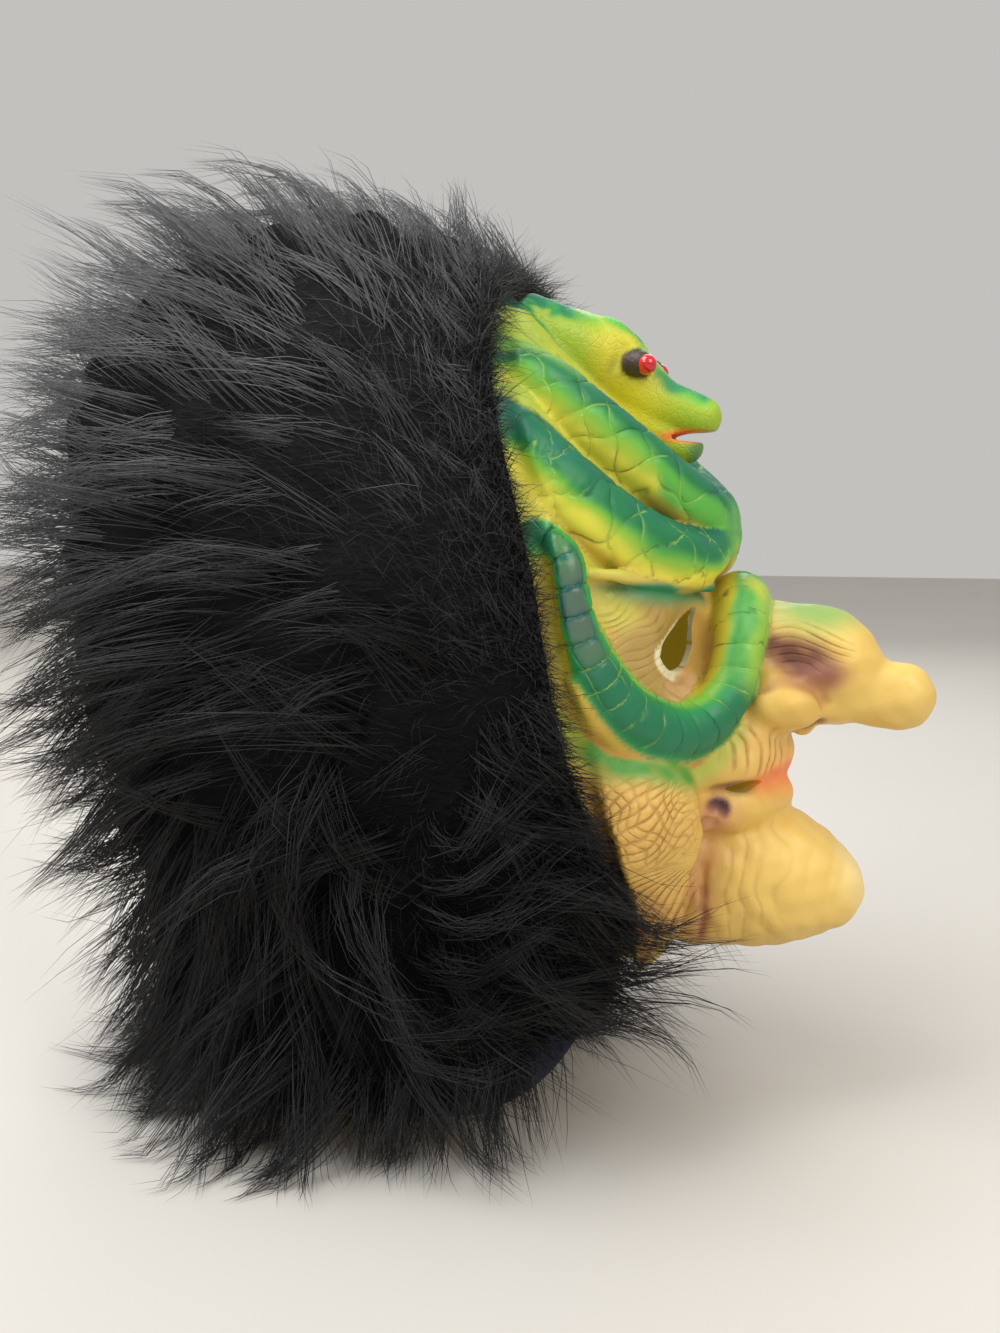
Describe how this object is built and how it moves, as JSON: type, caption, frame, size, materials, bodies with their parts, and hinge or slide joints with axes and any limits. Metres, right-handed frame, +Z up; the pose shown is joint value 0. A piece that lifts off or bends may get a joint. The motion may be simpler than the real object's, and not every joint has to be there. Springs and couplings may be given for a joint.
{
  "type": "witch mask",
  "caption": "Over-the-head witch mask: moulded vinyl face with a hooked nose, jutting chin and a snake coiled over the brow, sewn to a hood of long black pile.",
  "frame": {"origin": "inside of the hood's crown, where the mask sits on the top of the head", "axes": "+Z up, -Y the way the face looks, +X the wearer's left"},
  "size_m": [0.2344, 0.3363, 0.3244],
  "materials": {
    "vinyl": "moulded vinyl, ochre skin with airbrushed green snake, satin",
    "bead": "red glossy bead",
    "backing": "dark navy knitted backing",
    "pile": "long black synthetic pile with a cool sheen"
  },
  "bodies": {
    "root": {"face_mask": "vinyl", "snake_eye_left": "bead", "snake_eye_right": "bead", "hood_cloth": "backing", "hood_fur": "pile"}
  },
  "joints": []
}
